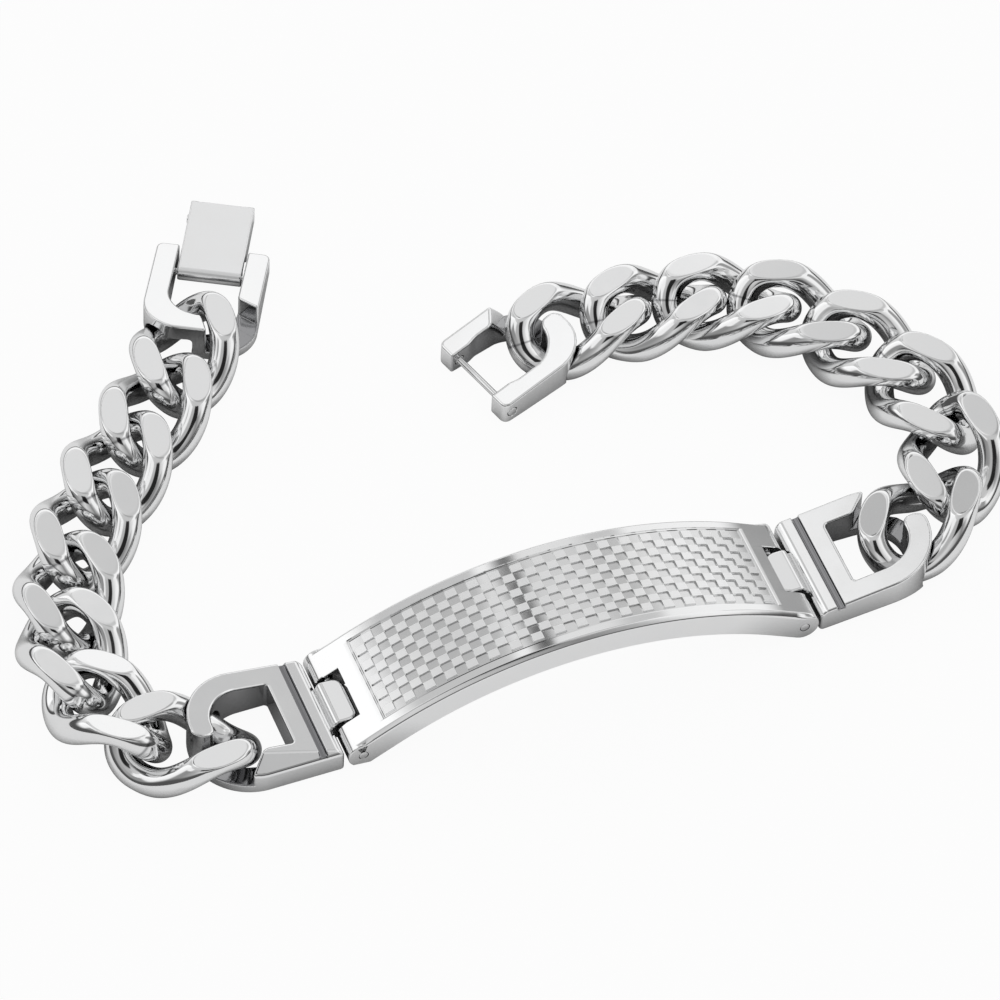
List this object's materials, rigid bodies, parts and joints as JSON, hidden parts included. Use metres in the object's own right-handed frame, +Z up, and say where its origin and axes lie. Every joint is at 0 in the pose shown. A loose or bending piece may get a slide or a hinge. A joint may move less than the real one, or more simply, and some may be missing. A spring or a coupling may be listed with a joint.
{
  "type": "curb chain bracelet",
  "caption": "Curb chain bracelet lying open, with a curved rectangular name plate hinged between two end links, flat-faced curb links and a fold-over clasp.",
  "frame": {"origin": "centre of the laid-out bracelet's bounding box, on the plane it rests on", "axes": "+Z up from the rest plane, +X along the longest side of the open loop, +Y away from the name plate towards the clasp"},
  "size_m": [0.0944, 0.0736, 0.0096],
  "materials": {
    "steel": "polished stainless steel"
  },
  "bodies": {
    "bracelet": {"id_plate": "steel", "hinge_pin_left": "steel", "hinge_pin_right": "steel", "end_link_left": "steel", "end_link_right": "steel", "link_left_1": "steel", "link_left_2": "steel", "link_left_3": "steel", "link_left_4": "steel", "link_left_5": "steel", "link_left_6": "steel", "link_left_7": "steel", "link_left_8": "steel", "link_right_1": "steel", "link_right_2": "steel", "link_right_3": "steel", "link_right_4": "steel", "link_right_5": "steel", "link_right_6": "steel", "link_right_7": "steel", "link_right_8": "steel", "shackle_left": "steel", "shackle_right": "steel", "clasp_pin_left": "steel", "clasp_bar_right": "steel"},
    "flap": {"clasp_flap": "steel"}
  },
  "joints": [
    {"name": "clasp_flap_hinge", "type": "hinge", "parent": "bracelet", "child": "flap", "pos_m": [-0.03103, 0.02784, 0.0012], "axis": [0.9962, -0.0872, 0], "range_deg": [0, 120]}
  ]
}
